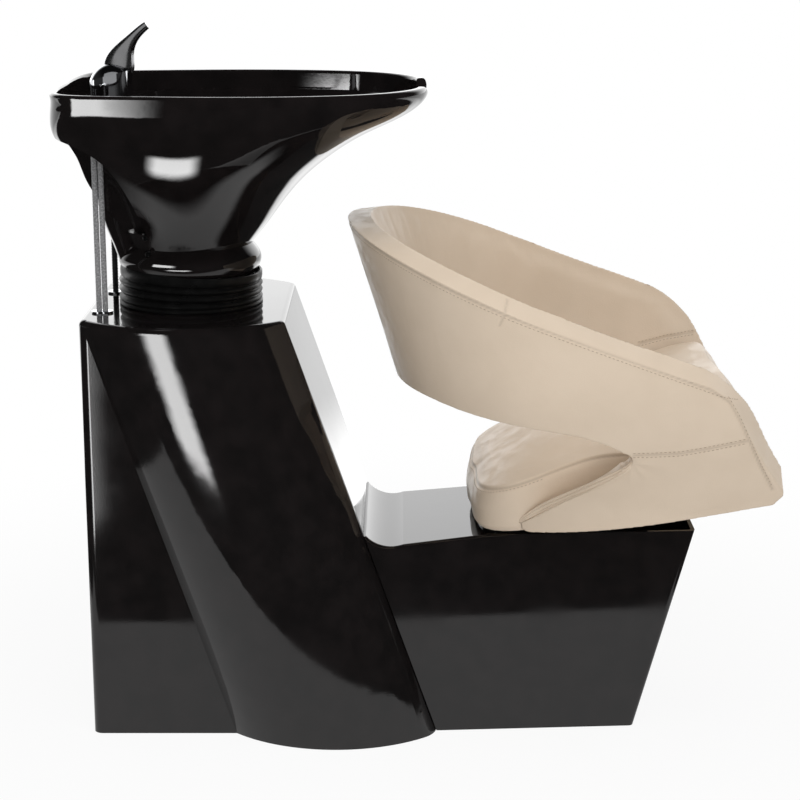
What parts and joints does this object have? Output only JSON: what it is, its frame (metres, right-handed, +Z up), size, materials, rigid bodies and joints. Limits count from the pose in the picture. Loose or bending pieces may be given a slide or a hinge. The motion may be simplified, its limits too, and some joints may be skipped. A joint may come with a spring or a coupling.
{
  "type": "hair washing bed",
  "caption": "Salon backwash unit: a tilting black basin on a column, a low bench in front of it, and a cream padded bucket seat with open sides.",
  "frame": {"origin": "middle of the unit's plan, on the floor", "axes": "+X from the column's rear wall towards the front of the seat, +Y across the unit to the side with the shower holder, +Z up"},
  "size_m": [1.0784, 0.6952, 1.0839],
  "materials": {
    "gloss_black": "high gloss",
    "glaze_black": "high gloss glaze",
    "frame_paint": "satin powder coat",
    "steel": "plain",
    "dark_screw": "black",
    "rubber": "matt",
    "chrome": "polished",
    "dark_hose": "braided",
    "white_plastic": "matt",
    "grey_plastic": "matt",
    "fibre": "matt",
    "brass": "plain",
    "leather": "smooth, fine grain",
    "board": "plywood"
  },
  "bodies": {
    "stand": {"column_shell": "gloss_black", "service_panel": "gloss_black", "service_screws": "steel", "bench_shell": "gloss_black", "shell_bolts": "steel", "column_frame": "frame_paint", "bench_frame": "frame_paint", "floor_pads": "rubber", "tilt_base": "frame_paint", "tilt_base_bolts": "steel", "friction_washers": "fibre", "bellows": "rubber", "bellows_ring": "frame_paint", "waste_hose": "grey_plastic", "waste_trap": "white_plastic", "pipe_clip": "frame_paint", "hot_hose": "chrome", "cold_hose": "chrome", "shower_sleeve": "dark_hose", "supply_gland": "chrome", "shower_gland": "chrome", "inlet_block": "brass", "seat_riser": "gloss_black", "seat_board": "board", "seat_bolts": "steel", "seat_tub": "leather", "seat_cushion": "leather"},
    "basin": {"pivot_bolts": "steel", "tilt_head": "frame_paint", "head_bolts": "steel", "basin": "glaze_black", "basin_side_screws": "dark_screw", "drain_flange": "chrome", "drain_gasket": "rubber", "drain_nut": "brass", "tail_pipe": "white_plastic", "mixer_body": "chrome", "mixer_gasket": "rubber", "mixer_nut": "brass", "shower_holder": "chrome", "holder_nut": "brass", "shower_guide": "chrome"},
    "strainer": {"hair_strainer": "chrome"},
    "mixer_swivel": {"mixer_driver": "white_plastic"},
    "lever": {"mixer_lever": "chrome", "mixer_stem": "steel"},
    "hand_shower": {"hand_shower": "chrome", "spray_face": "grey_plastic", "shower_hose": "dark_hose"}
  },
  "joints": [
    {"name": "basin_tilt", "type": "hinge", "parent": "stand", "child": "basin", "pos_m": [-0.34949, 0, 0.683], "axis": [0, 1, 0], "range_deg": [-6, 8], "deforming": ["bellows", "waste_hose", "hot_hose", "cold_hose", "shower_sleeve"]},
    {"name": "strainer_lift", "type": "slide", "parent": "basin", "child": "strainer", "axis": [0, 0, 1], "range_m": [0, 0.05]},
    {"name": "lever_swivel", "type": "hinge", "parent": "basin", "child": "mixer_swivel", "pos_m": [-0.44449, -0.09, 0.9887], "axis": [0, 0, 1], "range_deg": [-40, 40]},
    {"name": "lever_lift", "type": "hinge", "parent": "mixer_swivel", "child": "lever", "pos_m": [-0.44449, -0.09, 0.9887], "axis": [0, 1, 0], "range_deg": [-22, 3]},
    {"name": "hand_shower_lift", "type": "slide", "parent": "basin", "child": "hand_shower", "axis": [0, 0, 1], "range_m": [0, 0.08]}
  ]
}
